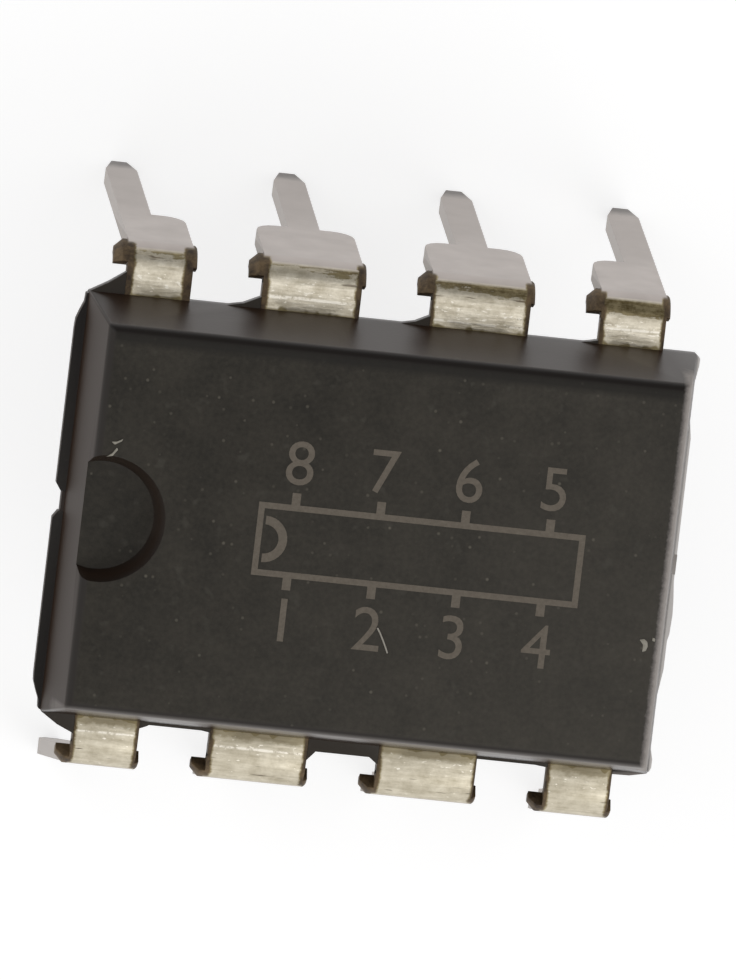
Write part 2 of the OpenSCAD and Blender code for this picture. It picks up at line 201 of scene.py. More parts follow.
def moulded_epoxy():
    """Silica-filled epoxy, transfer moulded: a matt grained top, smoother walls and torn flash."""
    material, nodes, place, spot, facing = new_material("moulded_epoxy")
    # Faces that look up are matt, and those no higher than the lead frame are flash
    flat = add(nodes, "ShaderNodeMapRange", {"Value": facing["Z"], "From Min": 0.9, "From Max": 0.99})
    low = add(nodes, "ShaderNodeMath", {0: spot["Z"], 1: frame_top_z + 0.02}, operation="LESS_THAN")
    flash = add(nodes, "ShaderNodeMath", {0: flat, 1: low}, operation="MULTIPLY")
    grain = add(nodes, "ShaderNodeTexNoise",
                {"Vector": place, "Scale": 1 / SPARK_GRAIN, "Detail": 4.0, "Roughness": 0.65})
    edge_sheen = rubbed_edges(nodes, place, spot, grain)

    # The walls, and the rounded edge above them, which is painted darker along the back row as a dark
    # reflection
    edge = add(nodes, "ShaderNodeMapRange", {"Value": facing["Z"], "From Min": 0.15, "From Max": 0.6})
    back_row_shade = add(nodes, "ShaderNodeMapRange", {"Value": facing["Y"], "From Min": 0.1, "From Max": 0.3})
    rounded = add(nodes, "ShaderNodeMix", {"Factor": back_row_shade, "A": srgb("#28231f"), "B": srgb("#1a1512")},
                  data_type="RGBA")
    wall = add(nodes, "ShaderNodeMix", {"Factor": edge, "A": srgb("#2e2015"), "B": rounded},
               data_type="RGBA")
    colour = add(nodes, "ShaderNodeMix",
                 {"Factor": flat, "A": wall, "B": moulded_face(nodes, place, spot, grain)},
                 data_type="RGBA")
    # The flash, with its painted shade at the notch end and painted light at the far corner
    colour = add(nodes, "ShaderNodeMix", {"Factor": flash, "A": colour, "B": flash_skin(nodes, spot)},
                 data_type="RGBA")
    # Painted highlight: the far end's upper edge and the front row's edge are painted pale
    colour = add(nodes, "ShaderNodeMix", {"Factor": edge_sheen, "A": colour, "B": srgb("#a39c97")},
                 data_type="RGBA")
    # The lip broken off at the far end shows its pale filler
    torn = add(nodes, "ShaderNodeMapRange",
               {"Value": spot["X"], "From Min": END_X - 0.02, "From Max": END_X + 0.02})
    colour = add(nodes, "ShaderNodeMix", {"Factor": torn, "A": colour, "B": srgb("#e2deda")},
                 data_type="RGBA")

    # Among the walls the notch end's is the dullest and the front row's the glossiest
    matt = add(nodes, "ShaderNodeMath", {0: flat, 1: edge_sheen}, operation="MAXIMUM")
    dull = add(nodes, "ShaderNodeMapRange",
               {"Value": facing["X"], "From Min": -0.5, "From Max": -0.9, "To Max": 0.6})
    matt = add(nodes, "ShaderNodeMath", {0: matt, 1: dull}, operation="MAXIMUM")
    glossy = add(nodes, "ShaderNodeMapRange",
                 {"Value": facing["Y"], "From Min": -0.95, "From Max": -0.5, "To Min": 0.27,
                  "To Max": 0.36})
    rough = add(nodes, "ShaderNodeMapRange", {"Value": matt, "To Min": glossy, "To Max": 0.62})
    strength = add(nodes, "ShaderNodeMapRange", {"Value": flat, "To Min": 0.15, "To Max": 0.55})
    bump = add(nodes, "ShaderNodeBump",
               {"Height": grain, "Strength": strength, "Distance": GRAIN_DEPTH * MM})
    shader = add(nodes, "ShaderNodeBsdfPrincipled",
                 {"Base Color": colour, "Roughness": rough, "Normal": bump, "IOR": 1.33})
    add(nodes, "ShaderNodeOutputMaterial", {"Surface": shader})
    return material


# Sizes of the patterns in the tin: widths, or lengths along the chip with widths across it. Real rolling
# lines and scratches are finer than these, and they are drawn as wide as they need to show
ROLLED_LINE = (1 / 1.6, 1 / 13)
BLOTCH = 0.2
GLINT_FLECK = (0.1, 1 / 22)
SCRATCH = (0.5, 1 / 17)
LEG_CLOUD = 1 / 2.2
RESIN_LUMP = (0.2, 1 / 1.5)
# How deep the rolling lines are
LINE_DEPTH = 0.004
# How far out from the chip's middle the middle of a shoulder's flat is, where glints are painted on the
# tin
FLAT_MIDDLE = 3.4
# How far out some leads have one painted glint line, and how much it wavers
GLINT_LINE_AT = {"lead_1": 3.4, "lead_2": 3.42, "lead_5": 3.43, "lead_6": 3.28, "lead_7": 3.38}
GLINT_LINE_WAVER = 0.08
# How far out the olive wear round the bend starts, how that line slants along X and how ragged it is
WORN_FROM = {"lead_5": 3.61, "lead_6": 3.72, "lead_7": 3.79, "lead_8": 3.82}
FRONT_WORN_FROM = 3.99
WORN_SLANT = 0.06
WORN_RAGGED = 0.3
# How wide the browned left and right edges of each shoulder are, and how ragged
BROWN_EDGES = {
    "lead_1": (0.03, 0.04), "lead_2": (0.05, 0.05), "lead_3": (0.04, 0.03), "lead_4": (0.04, 0.03),
    "lead_5": (0.05, 0.05), "lead_6": (0.03, 0.06), "lead_7": (0.07, 0.07), "lead_8": (0.09, 0.12),
}
EDGE_RAGGED = 0.14
# The stubs of the sheared tie bar are brown as far out as this
STUB_BROWN_TO = 3.98


def stretched(length, width):
    """The scale of a pattern that is this long along the chip and this wide across it."""
    return (1 / length, 1 / width, 1 / width)


def start_strip(node):
    """What the layers of a lead's finish share: a material, the places on the lead and its patterns."""
    material, nodes, place, spot, facing = new_material(f"tin_plated_{node}")
    number = LEADS.index(node) + 1
    back_row = number > 4
    middle_x = CORNER_X - (number - 5) * PITCH if back_row else (number - 1) * PITCH - CORNER_X
    out = add(nodes, "ShaderNodeMath", {0: spot["Y"]}, operation="ABSOLUTE")
    along = add(nodes, "ShaderNodeMapping", {"Vector": place, "Scale": stretched(*ROLLED_LINE)})
    lines = add(nodes, "ShaderNodeTexNoise",
                {"Vector": along, "Scale": 1.0, "Detail": 5.0, "Roughness": 0.7})
    blotch = add(nodes, "ShaderNodeTexNoise",
                 {"Vector": place, "Scale": 1 / BLOTCH, "Detail": 4.0, "Roughness": 0.7})
    streak = add(nodes, "ShaderNodeMath", {0: lines, 1: blotch}, operation="ADD")
    mottle = add(nodes, "ShaderNodeMapRange", {"Value": streak, "From Min": 0.75, "From Max": 1.25})
    # 1 on the shoulder and round the bend, and 0 down the leg
    leg_from, leg_to = (0.56, 0.7) if back_row else (0.2, 0.4)
    formed = add(nodes, "ShaderNodeMapRange",
                 {"Value": facing["Z"], "From Min": leg_from, "From Max": leg_to})
    upward = add(nodes, "ShaderNodeMapRange", {"Value": facing["Z"], "From Min": 0.3, "From Max": 0.5})
    sideways = add(nodes, "ShaderNodeMath", {0: facing["X"]}, operation="ABSOLUTE")
    sideways = add(nodes, "ShaderNodeMapRange", {"Value": sideways, "From Min": 0.5, "From Max": 0.8})
    return SimpleNamespace(
        node=node, back_row=back_row, middle_x=middle_x, material=material, nodes=nodes, place=place,
        spot=spot, facing=facing, out=out, lines=lines, blotch=blotch, streak=streak, mottle=mottle,
        formed=formed, upward=upward, sideways=sideways)


def burnished_line(strip):
    """1 along a painted glint line on a lead's shoulder, which is broken in places."""
    nodes = strip.nodes
    off_line = add(nodes, "ShaderNodeMath", {0: strip.lines, 1: GLINT_LINE_WAVER, 2: strip.out},
                   operation="MULTIPLY_ADD")
    off_line = add(nodes, "ShaderNodeMath",
                   {0: off_line, 1: GLINT_LINE_AT[strip.node] + GLINT_LINE_WAVER / 2},
                   operation="SUBTRACT")
    off_line = add(nodes, "ShaderNodeMath", {0: off_line}, operation="ABSOLUTE")
    line = add(nodes, "ShaderNodeMapRange",
               {"Value": off_line, "From Min": 0.01, "From Max": 0.025, "To Min": 1.0, "To Max": 0.0})
    broken = add(nodes, "ShaderNodeMapRange",
                 {"Value": strip.blotch, "From Min": 0.4, "From Max": 0.5})
    return add(nodes, "ShaderNodeMath", {0: line, 1: broken}, operation="MULTIPLY")


def shoulder_tin(strip):
    """The tin on a shoulder: warm, lined by rolling, with painted glints in flecks along its middle."""
    nodes = strip.nodes
    # Painted light: the back row's shoulders are a lighter tin than the front row's
    dark, light = ("#b9af99", "#ece4d2") if strip.back_row else ("#b4ab96", "#d9d1be")
    shoulder = add(nodes, "ShaderNodeMix", {"Factor": strip.mottle, "A": srgb(dark), "B": srgb(light)},
                   data_type="RGBA")
    along = add(nodes, "ShaderNodeMapping", {"Vector": strip.place, "Scale": stretched(*GLINT_FLECK)})
    glint_noise = add(nodes, "ShaderNodeTexNoise", {"Vector": along, "Scale": 1.0, "Detail": 2.0})
    off_middle = add(nodes, "ShaderNodeMath", {0: strip.out, 1: FLAT_MIDDLE}, operation="SUBTRACT")
    off_middle = add(nodes, "ShaderNodeMath", {0: off_middle}, operation="ABSOLUTE")
    sparse = add(nodes, "ShaderNodeMapRange",
                 {"Value": off_middle, "From Min": 0.08, "From Max": 0.22,
                  "To Min": 0.6 if strip.back_row else 0.63, "To Max": 0.7})
    # Painted highlight: near-white glints in flecks along the shoulder's middle
    bright = add(nodes, "ShaderNodeMath", {0: glint_noise, 1: sparse}, operation="SUBTRACT")
    bright = add(nodes, "ShaderNodeMapRange", {"Value": bright, "From Max": 0.06})
    if strip.node in GLINT_LINE_AT:
        bright = add(nodes, "ShaderNodeMath", {0: bright, 1: burnished_line(strip)},
                     operation="MAXIMUM")
    bright = add(nodes, "ShaderNodeMath", {0: bright, 1: 0.8}, operation="MULTIPLY")
    return add(nodes, "ShaderNodeMix", {"Factor": bright, "A": shoulder, "B": srgb("#fbf5e8")},
               data_type="RGBA")


def whole_tin(strip):
    """The tin from root to point: below the bend it is cloudy, then greyer, and dark at the point."""
    nodes = strip.nodes
    cloudy = add(nodes, "ShaderNodeTexNoise",
                 {"Vector": strip.place, "Scale": 1 / LEG_CLOUD, "Detail": 2.0})
    leg = add(nodes, "ShaderNodeMix", {"Factor": cloudy, "A": srgb("#a9a19c"), "B": srgb("#c1b9b4")},
              data_type="RGBA")
    tin = add(nodes, "ShaderNodeMix", {"Factor": strip.formed, "A": leg, "B": shoulder_tin(strip)},
              data_type="RGBA")
    narrow = add(nodes, "ShaderNodeMapRange",
                 {"Value": strip.spot["Z"], "From Min": 2.6, "From Max": 3.6, "To Min": 0.5,
                  "To Max": 0.0})
    tin = add(nodes, "ShaderNodeMix", {"Factor": narrow, "A": tin, "B": srgb("#a29a95")},
              data_type="RGBA")
    tin = add(nodes, "ShaderNodeMix", {"Factor": strip.sideways, "A": tin, "B": srgb("#b7b0ab")},
              data_type="RGBA")
    point = add(nodes, "ShaderNodeMath", {0: strip.blotch, 1: 0.2, 2: strip.spot["Z"]},
                operation="MULTIPLY_ADD")
    point = add(nodes, "ShaderNodeMapRange",
                {"Value": point, "From Min": 0.3, "From Max": 0.6, "To Min": 0.95, "To Max": 0.0})
    return add(nodes, "ShaderNodeMix", {"Factor": point, "A": tin, "B": srgb("#6a6460")},
               data_type="RGBA")


def edge_distances(strip):
    """How far in a place lies from the shoulder's nearer edge, and from that edge's ragged brown."""
    nodes = strip.nodes
    # A corner lead is as narrow as its point on the side that faces the end of the body
    left_x = strip.middle_x - (NARROW_HALF if strip.middle_x < -PITCH else SHOULDER_HALF)
    right_x = strip.middle_x + (NARROW_HALF if strip.middle_x > PITCH else SHOULDER_HALF)
    from_left = add(nodes, "ShaderNodeMath", {0: strip.spot["X"], 1: left_x}, operation="SUBTRACT")
    from_right = add(nodes, "ShaderNodeMath", {0: right_x, 1: strip.spot["X"]}, operation="SUBTRACT")
    inside = add(nodes, "ShaderNodeMath", {0: from_left, 1: from_right}, operation="MINIMUM")
    left_width, right_width = BROWN_EDGES[strip.node]
    past_left = add(nodes, "ShaderNodeMath", {0: from_left, 1: left_width}, operation="SUBTRACT")
    past_right = add(nodes, "ShaderNodeMath", {0: from_right, 1: right_width}, operation="SUBTRACT")
    past = add(nodes, "ShaderNodeMath", {0: past_left, 1: past_right}, operation="MINIMUM")
    past = add(nodes, "ShaderNodeMath", {0: past, 1: EDGE_RAGGED / 2}, operation="ADD")
    past = add(nodes, "ShaderNodeMath", {0: strip.blotch, 1: -EDGE_RAGGED, 2: past},
               operation="MULTIPLY_ADD")
    return inside, past


def olive_wear(strip, past_edge):
    """1 where the tin is worn thin: round the bend, widest at the +X edge, and in a film at both edges."""
    nodes = strip.nodes
    worn_from = WORN_FROM.get(strip.node, FRONT_WORN_FROM) + WORN_RAGGED + WORN_SLANT * strip.middle_x
    reach = add(nodes, "ShaderNodeMath", {0: strip.spot["X"], 1: WORN_SLANT, 2: strip.out},
                operation="MULTIPLY_ADD")
    reach = add(nodes, "ShaderNodeMath", {0: strip.streak, 1: WORN_RAGGED, 2: reach},
                operation="MULTIPLY_ADD")
    reach = add(nodes, "ShaderNodeMapRange",
                {"Value": reach, "From Min": worn_from, "From Max": worn_from + 0.04})
    above_leg = add(nodes, "ShaderNodeMapRange",
                    {"Value": strip.facing["Z"], "From Min": 0.62, "From Max": 0.7})
    wear = add(nodes, "ShaderNodeMath", {0: reach, 1: above_leg}, operation="MULTIPLY")
    film = add(nodes, "ShaderNodeMapRange",
               {"Value": past_edge, "From Min": 0.01, "From Max": 0.04, "To Min": 1.0, "To Max": 0.0})
    wear = add(nodes, "ShaderNodeMath", {0: wear, 1: film}, operation="MAXIMUM")
    return add(nodes, "ShaderNodeMath", {0: wear, 1: strip.upward}, operation="MULTIPLY")


def resin_bleed(strip):
    """1 where resin bled over the tin, in a lumpy line along the root."""
    nodes = strip.nodes
    lump_length, lump_width = RESIN_LUMP
    lumps = add(nodes, "ShaderNodeMapping",
                {"Vector": strip.place, "Scale": (1 / lump_length, 1 / lump_width, 0.0)})
    lumps = add(nodes, "ShaderNodeTexNoise", {"Vector": lumps, "Scale": 1.0, "Detail": 1.0})
    lumps = add(nodes, "ShaderNodeMapRange",
                {"Value": lumps, "From Min": 0.52, "From Max": 0.75, "To Max": 0.07})
    root = add(nodes, "ShaderNodeMath", {0: strip.out, 1: lumps}, operation="SUBTRACT")
    root = add(nodes, "ShaderNodeMapRange",
               {"Value": root, "From Min": WALL_Y, "From Max": WALL_Y + 0.05, "To Min": 1.0,
                "To Max": 0.0})
    stain = add(nodes, "ShaderNodeMath", {0: strip.blotch, 1: -0.25, 2: strip.out},
                operation="MULTIPLY_ADD")
    stain = add(nodes, "ShaderNodeMapRange",
                {"Value": stain, "From Min": WALL_Y - 0.04, "From Max": WALL_Y + 0.04,
                 "To Min": 0.2 if strip.back_row else 0.75, "To Max": 0.0})
    return add(nodes, "ShaderNodeMath", {0: stain, 1: root}, operation="MAXIMUM")


def bared_copper(strip, inside, past_edge):
    """1 where the copper alloy is bare: scratches at the bend, rolled edges, cut faces and stubs."""
    nodes = strip.nodes
    # Shifted, so that the scratches don't follow the rolling lines
    scored = add(nodes, "ShaderNodeMapping",
                 {"Vector": strip.place, "Location": (3.0, 0.0, 0.0), "Scale": stretched(*SCRATCH)})
    scored = add(nodes, "ShaderNodeTexNoise", {"Vector": scored, "Scale": 1.0, "Detail": 2.0})
    scored = add(nodes, "ShaderNodeMapRange", {"Value": scored, "From Min": 0.66, "From Max": 0.71})
    bent = add(nodes, "ShaderNodeMath", {0: strip.facing["Z"], 1: 0.82}, operation="SUBTRACT")
    bent = add(nodes, "ShaderNodeMath", {0: bent}, operation="ABSOLUTE")
    bent = add(nodes, "ShaderNodeMapRange",
               {"Value": bent, "From Min": 0.12, "From Max": 0.17, "To Min": 0.8, "To Max": 0.0})
    scored = add(nodes, "ShaderNodeMath", {0: scored, 1: bent}, operation="MULTIPLY")
    rolled = add(nodes, "ShaderNodeMapRange",
                 {"Value": past_edge, "From Min": -0.01, "From Max": 0.015, "To Min": 1.0,
                  "To Max": 0.0})
    rolled = add(nodes, "ShaderNodeMath", {0: rolled, 1: strip.upward}, operation="MULTIPLY")
    # The cut faces are brown near the bend, and mostly tinned over below it
    at_top = add(nodes, "ShaderNodeMapRange",
                 {"Value": strip.spot["Z"], "From Min": frame_top_z - 0.55,
                  "From Max": frame_top_z - 0.45, "To Min": 0.16})
    cut = add(nodes, "ShaderNodeMath", {0: strip.sideways, 1: at_top}, operation="MULTIPLY")
    stub = add(nodes, "ShaderNodeMapRange",
               {"Value": inside, "From Min": -0.02, "From Max": 0.01, "To Min": 1.0, "To Max": 0.0})
    inner = add(nodes, "ShaderNodeMath", {0: strip.out, 1: STUB_BROWN_TO}, operation="LESS_THAN")
    stub = add(nodes, "ShaderNodeMath", {0: stub, 1: inner}, operation="MULTIPLY")
    bare = scored
    for part in (rolled, cut, stub):
        bare = add(nodes, "ShaderNodeMath", {0: bare, 1: part}, operation="MAXIMUM")
    return bare


def tin_plated_strip(node):
    """Tin on rolled copper alloy: bright and lined on top, smooth down the leg and brown where cut."""
    strip = start_strip(node)
    nodes = strip.nodes
    inside, past_edge = edge_distances(strip)
    tarnish = add(nodes, "ShaderNodeMapRange",
                  {"Value": strip.streak, "From Min": 0.85, "From Max": 1.15})
    olive = add(nodes, "ShaderNodeMix", {"Factor": tarnish, "A": srgb("#5d5034"), "B": srgb("#9f9271")},
                data_type="RGBA")
    colour = add(nodes, "ShaderNodeMix",
                 {"Factor": olive_wear(strip, past_edge), "A": whole_tin(strip), "B": olive},
                 data_type="RGBA")
    colour = add(nodes, "ShaderNodeMix",
                 {"Factor": resin_bleed(strip), "A": colour, "B": srgb("#7d7256")}, data_type="RGBA")
    bare = bared_copper(strip, inside, past_edge)
    patchy = add(nodes, "ShaderNodeMapRange",
                 {"Value": strip.blotch, "From Min": 0.35, "From Max": 0.65})
    brown = add(nodes, "ShaderNodeMix", {"Factor": patchy, "A": srgb("#372b20"), "B": srgb("#6f5c42")},
                data_type="RGBA")
    colour = add(nodes, "ShaderNodeMix", {"Factor": bare, "A": colour, "B": brown}, data_type="RGBA")

    # The front row is duller than the back row, and the brown parts are the roughest
    metal = add(nodes, "ShaderNodeMapRange", {"Value": bare, "To Min": 1.0, "To Max": 0.4})
    dull, bright = (0.42, 0.26) if strip.back_row else (0.52, 0.4)
    polish = add(nodes, "ShaderNodeMapRange",
                 {"Value": strip.lines, "From Min": 0.3, "From Max": 0.7, "To Min": dull,
                  "To Max": bright})
    polish = add(nodes, "ShaderNodeMix", {"Factor": strip.formed, "A": 0.45, "B": polish},
                 data_type="FLOAT")
    rough = add(nodes, "ShaderNodeMix", {"Factor": bare, "A": polish, "B": 0.6}, data_type="FLOAT")
    relief = add(nodes, "ShaderNodeMapRange", {"Value": strip.formed, "To Min": 0.05, "To Max": 0.6})
    bump = add(nodes, "ShaderNodeBump",
               {"Height": strip.mottle, "Strength": relief, "Distance": LINE_DEPTH * MM})
    shader = add(nodes, "ShaderNodeBsdfPrincipled",
                 {"Base Color": colour, "Metallic": metal, "Roughness": rough, "Normal": bump})
    add(nodes, "ShaderNodeOutputMaterial", {"Surface": shader})
    return strip.material


def grained(name, dark, light, grain_width, rough, metallic, depth):
    """A plain finish of two colours with a fine grain, whose width and depth are in millimetres."""
    material, nodes, place, _, _ = new_material(name)
    grain = add(nodes, "ShaderNodeTexNoise",
                {"Vector": place, "Scale": 1 / grain_width, "Detail": 3.0, "Roughness": 0.6})
    colour = add(nodes, "ShaderNodeMix", {"Factor": grain, "A": srgb(dark), "B": srgb(light)},
                 data_type="RGBA")
    bump = add(nodes, "ShaderNodeBump", {"Height": grain, "Strength": 0.4, "Distance": depth * MM})
    shader = add(nodes, "ShaderNodeBsdfPrincipled",
                 {"Base Color": colour, "Metallic": metallic, "Roughness": rough, "Normal": bump})
    add(nodes, "ShaderNodeOutputMaterial", {"Surface": shader})
    return material


# The grain of the rolled paddle, and how near the body's end walls its tie bars look cut
PADDLE_GRAIN = 1 / 18
CUT_DEPTH = 0.1


def paddle_copper():
    """Bare rolled copper alloy, browned where cut at the notch end, and smeared pale at the far end."""
    material, nodes, place, spot, _ = new_material("rolled_copper_alloy")
    grain = add(nodes, "ShaderNodeTexNoise", {"Vector": place, "Scale": 1 / PADDLE_GRAIN, "Detail": 3.0})
    clean = add(nodes, "ShaderNodeMix", {"Factor": grain, "A": srgb("#7a4a2a"), "B": srgb("#b0703f")},
                data_type="RGBA")
    browned = add(nodes, "ShaderNodeMath", {0: spot["X"], 1: CUT_DEPTH - END_X}, operation="LESS_THAN")
    smeared = add(nodes, "ShaderNodeMath", {0: spot["X"], 1: END_X - CUT_DEPTH},
                  operation="GREATER_THAN")
    colour = add(nodes, "ShaderNodeMix", {"Factor": browned, "A": clean, "B": srgb("#2c211b")},
                 data_type="RGBA")
    colour = add(nodes, "ShaderNodeMix", {"Factor": smeared, "A": colour, "B": srgb("#a8a29d")},
                 data_type="RGBA")
    cut = add(nodes, "ShaderNodeMath", {0: browned, 1: smeared}, operation="MAXIMUM")
    metal = add(nodes, "ShaderNodeMapRange", {"Value": cut, "To Min": 0.9, "To Max": 0.2})
    rough = add(nodes, "ShaderNodeMapRange", {"Value": cut, "To Min": 0.38, "To Max": 0.65})
    shader = add(nodes, "ShaderNodeBsdfPrincipled",
                 {"Base Color": colour, "Metallic": metal, "Roughness": rough})
    add(nodes, "ShaderNodeOutputMaterial", {"Surface": shader})
    return material


# Points nearer to each other than this are merged
CAD_WELD = 0.0005
PIECE_WELD = 0.0002
# Only edges sharper than this are broken, in degrees
SHARP_ANGLE = 35


def dress(node, material, round_off):
    """Gives a CAD node its finish, smooth shading and lightly broken edges."""
    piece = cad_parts[node]
    piece.data.materials.clear()
    piece.data.materials.append(material)
    weld = piece.modifiers.new("weld", "WELD")
    weld.merge_threshold = CAD_WELD * MM
    bevel = piece.modifiers.new("broken_edges", "BEVEL")
    bevel.width = round_off * MM
    bevel.segments = 2
    bevel.limit_method = "ANGLE"
    bevel.angle_limit = math.radians(SHARP_ANGLE)
    # Keeps the wide faces flat, so that only the narrow ones beside them round the light
    flatten = piece.modifiers.new("flat_faces", "WEIGHTED_NORMAL")
    flatten.weight = 100
    piece.data.shade_smooth()


def finish_piece(mesh, name, material):
    """Turns a closed bmesh in millimetres into a piece that rides on the chip."""
    bmesh.ops.remove_doubles(mesh, verts=mesh.verts, dist=PIECE_WELD)
    bmesh.ops.recalc_face_normals(mesh, faces=mesh.faces)
    bmesh.ops.scale(mesh, verts=mesh.verts, vec=(MM, MM, MM))
    data = bpy.data.meshes.new(name)
    mesh.to_mesh(data)
    mesh.free()
    data.materials.append(material)
    piece = bpy.data.objects.new(name, data)
    bpy.context.scene.collection.objects.link(piece)
    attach(piece, "root")


# Pin numbers and an outline of the package, lasered on the top face
MARK_CENTRE = (0.6, -0.05)
MARK_LENGTH = 4.9
MARK_WIDTH = 1.1
MARK_PITCH = 1.27
MARK_STROKE = 0.13
MARK_NOTCH_R = 0.22
MARK_NOTCH_STEPS = 16
NUMERAL_HEIGHT = 0.66
NUMERAL_GAP = 0.3
# A numeral's height as a share of the font's size, and the straight steps that a curve of it has
NUMERAL_SHARE = 0.7
NUMERAL_STEPS = 5
TICK_LENGTH = 0.18
# The marks stand proud of the face by so little that only their colour shows
MARK_SUNK = 0.01
MARK_PROUD = 0.003
MARK_THICKNESS = MARK_SUNK + MARK_PROUD


def thicken(mesh, faces, thickness):
    """Gives flat faces at z = 0 a thickness."""
    result = bmesh.ops.extrude_face_region(mesh, geom=faces)
    lifted = [v for v in result["geom"] if isinstance(v, bmesh.types.BMVert)]
    bmesh.ops.translate(mesh, verts=lifted, vec=(0, 0, thickness))


def outline_mark(mesh):
    """The package seen from above: a frame, and a half ring for the notch inside its left end."""
    left = -MARK_LENGTH / 2
    half = MARK_WIDTH / 2
    corners = [(left, -half), (-left, -half), (-left, half), (left, half)]
    sheet = mesh.faces.new([mesh.verts.new((x, y, 0)) for x, y in corners])
    # A new face has no normal yet, and the inset needs it
    sheet.normal_update()
    rim = bmesh.ops.inset_region(mesh, faces=[sheet], thickness=MARK_STROKE, use_boundary=True)["faces"]
    bmesh.ops.delete(mesh, geom=[sheet], context="FACES_ONLY")
    thicken(mesh, rim, MARK_THICKNESS)
    done = set(mesh.faces)
    centre = left + MARK_STROKE
    ends = [mesh.verts.new((centre, y, 0)) for y in (-MARK_NOTCH_R - MARK_STROKE, -MARK_NOTCH_R)]
    bmesh.ops.spin(mesh, geom=[mesh.edges.new(ends)], cent=(centre, 0, 0), axis=(0, 0, 1),
                   angle=math.pi, steps=MARK_NOTCH_STEPS)
    ring = [face for face in mesh.faces if face not in done]
    thicken(mesh, ring, MARK_THICKNESS)


def tick_marks(mesh):
    """Short lines from the outline towards each number."""
    for column in range(4):
        for side in (-1, 1):
            tick = bmesh.ops.create_cube(mesh, size=1.0)["verts"]
            bmesh.ops.scale(mesh, verts=tick, vec=(MARK_STROKE, TICK_LENGTH, MARK_THICKNESS))
            x = (column - 1.5) * MARK_PITCH
            y = side * (MARK_WIDTH + TICK_LENGTH) / 2
            bmesh.ops.translate(mesh, verts=tick, vec=(x, y, MARK_THICKNESS / 2))


def numeral(mesh, digit, x, y):
    """One number, as thick as the other marks, its middle at x and y."""
    text = bpy.data.curves.new("numeral", "FONT")
    text.body = str(digit)
    text.size = NUMERAL_HEIGHT / NUMERAL_SHARE
    text.resolution_u = NUMERAL_STEPS
    text.extrude = MARK_THICKNESS / 2
    holder = bpy.data.objects.new("numeral", text)
    bpy.context.scene.collection.objects.link(holder)
    bpy.context.view_layer.update()
    shape = bpy.data.meshes.new_from_object(holder)
    bpy.data.objects.remove(holder)
    xs = [v.co.x for v in shape.vertices]
    ys = [v.co.y for v in shape.vertices]
    middle = Vector(((min(xs) + max(xs)) / 2, (min(ys) + max(ys)) / 2, -text.extrude))
    shape.transform(Matrix.Translation(Vector((x, y, 0)) - middle))
    mesh.from_mesh(shape)
    bpy.data.meshes.remove(shape)


def build_marks():
    """Burnt into the resin by a marking laser, so lighter, rougher and a little patchy."""
    mesh = bmesh.new()
    outline_mark(mesh)
    tick_marks(mesh)
    offset = MARK_WIDTH / 2 + NUMERAL_GAP + NUMERAL_HEIGHT / 2
    for column in range(4):
        x = (column - 1.5) * MARK_PITCH
        numeral(mesh, column + 1, x, -offset)
        numeral(mesh, 8 - column, x, offset)
    bmesh.ops.translate(mesh, verts=mesh.verts, vec=(*MARK_CENTRE, top_z - MARK_SUNK))
    burnt = grained("laser_marked_epoxy", "#544c42", "#786f63", grain_width=0.05, rough=0.75,
                    metallic=0.0, depth=0.004)
    finish_piece(mesh, "pin_number_marks", burnt)


# Chips knocked off the resin, which lie or stick on the top face: the outline of each along X and Y
CHIPS = [
    [(4.03, -0.97), (4.1, -0.955), (4.15, -0.99), (4.165, -1.06), (4.14, -1.13), (4.09, -1.15),
     (4.09, -1.04)],
    [(4.22, -0.92), (4.26, -0.93), (4.26, -0.98), (4.22, -0.97)],
    [(-4.14, 1.16), (-4.06, 1.17), (-3.97, 1.22), (-3.99, 1.18), (-4.09, 1.12)],
    [(-4.19, 0.93), (-4.11, 0.99), (-4.05, 1.08), (-4.03, 1.05), (-4.1, 0.95)],
]
CHIP_THICKNESS = 0.02
CHIP_BEVEL = 0.006


def build_chips():
    """Chalky crumbs of resin, broken pale; they stand in the face by as much as their edges slope."""
    mesh = bmesh.new()
    for points in CHIPS:
        face = mesh.faces.new([mesh.verts.new((x, y, 0)) for x, y in points])
        thicken(mesh, [face], CHIP_THICKNESS)
    bmesh.ops.bevel(mesh, geom=mesh.edges[:], offset=CHIP_BEVEL, offset_type="OFFSET", affect="EDGES",
                    segments=1, profile=0.5, material=-1)
    bmesh.ops.translate(mesh, verts=mesh.verts, vec=(0, 0, top_z - CHIP_BEVEL))
    chalky = grained("chipped_epoxy", "#7d786c", "#b5b0a4", grain_width=0.04, rough=0.8, metallic=0.0,
                     depth=0.004)
    finish_piece(mesh, "resin_chips", chalky)


# A fibre of lint that lies on the top face: points on its way along X and Y, its radius and its sides
FIBRE = [(0.12, -1.2), (0.16, -1.26), (0.22, -1.37), (0.27, -1.47), (0.31, -1.56)]
FIBRE_R = 0.012
FIBRE_SIDES = 8


def build_fibre():
    """A pale matt thread: a disc pulled from point to point."""
    mesh = bmesh.new()
    disc = bmesh.ops.create_circle(mesh, cap_ends=True, segments=FIBRE_SIDES, radius=FIBRE_R)["verts"]
    first_step = Vector((*FIBRE[1], 0)) - Vector((*FIBRE[0], 0))
    turn = first_step.to_track_quat("Z", "Y").to_matrix()
    bmesh.ops.rotate(mesh, verts=disc, cent=(0, 0, 0), matrix=turn)
    bmesh.ops.translate(mesh, verts=disc, vec=(*FIBRE[0], top_z + FIBRE_R))
    end = next(iter(mesh.faces))
    for here, there in zip(FIBRE, FIBRE[1:]):
        step = Vector((there[0] - here[0], there[1] - here[1], 0))
        pulled = bmesh.ops.extrude_face_region(mesh, geom=[end])["geom"]
        end = next(f for f in pulled if isinstance(f, bmesh.types.BMFace))
        bmesh.ops.translate(mesh, verts=end.verts, vec=step)
    lint = grained("cotton_lint", "#8d877c", "#c0bab0", grain_width=0.025, rough=0.9, metallic=0.0,
                   depth=0.002)
    finish_piece(mesh, "lint_fibre", lint)


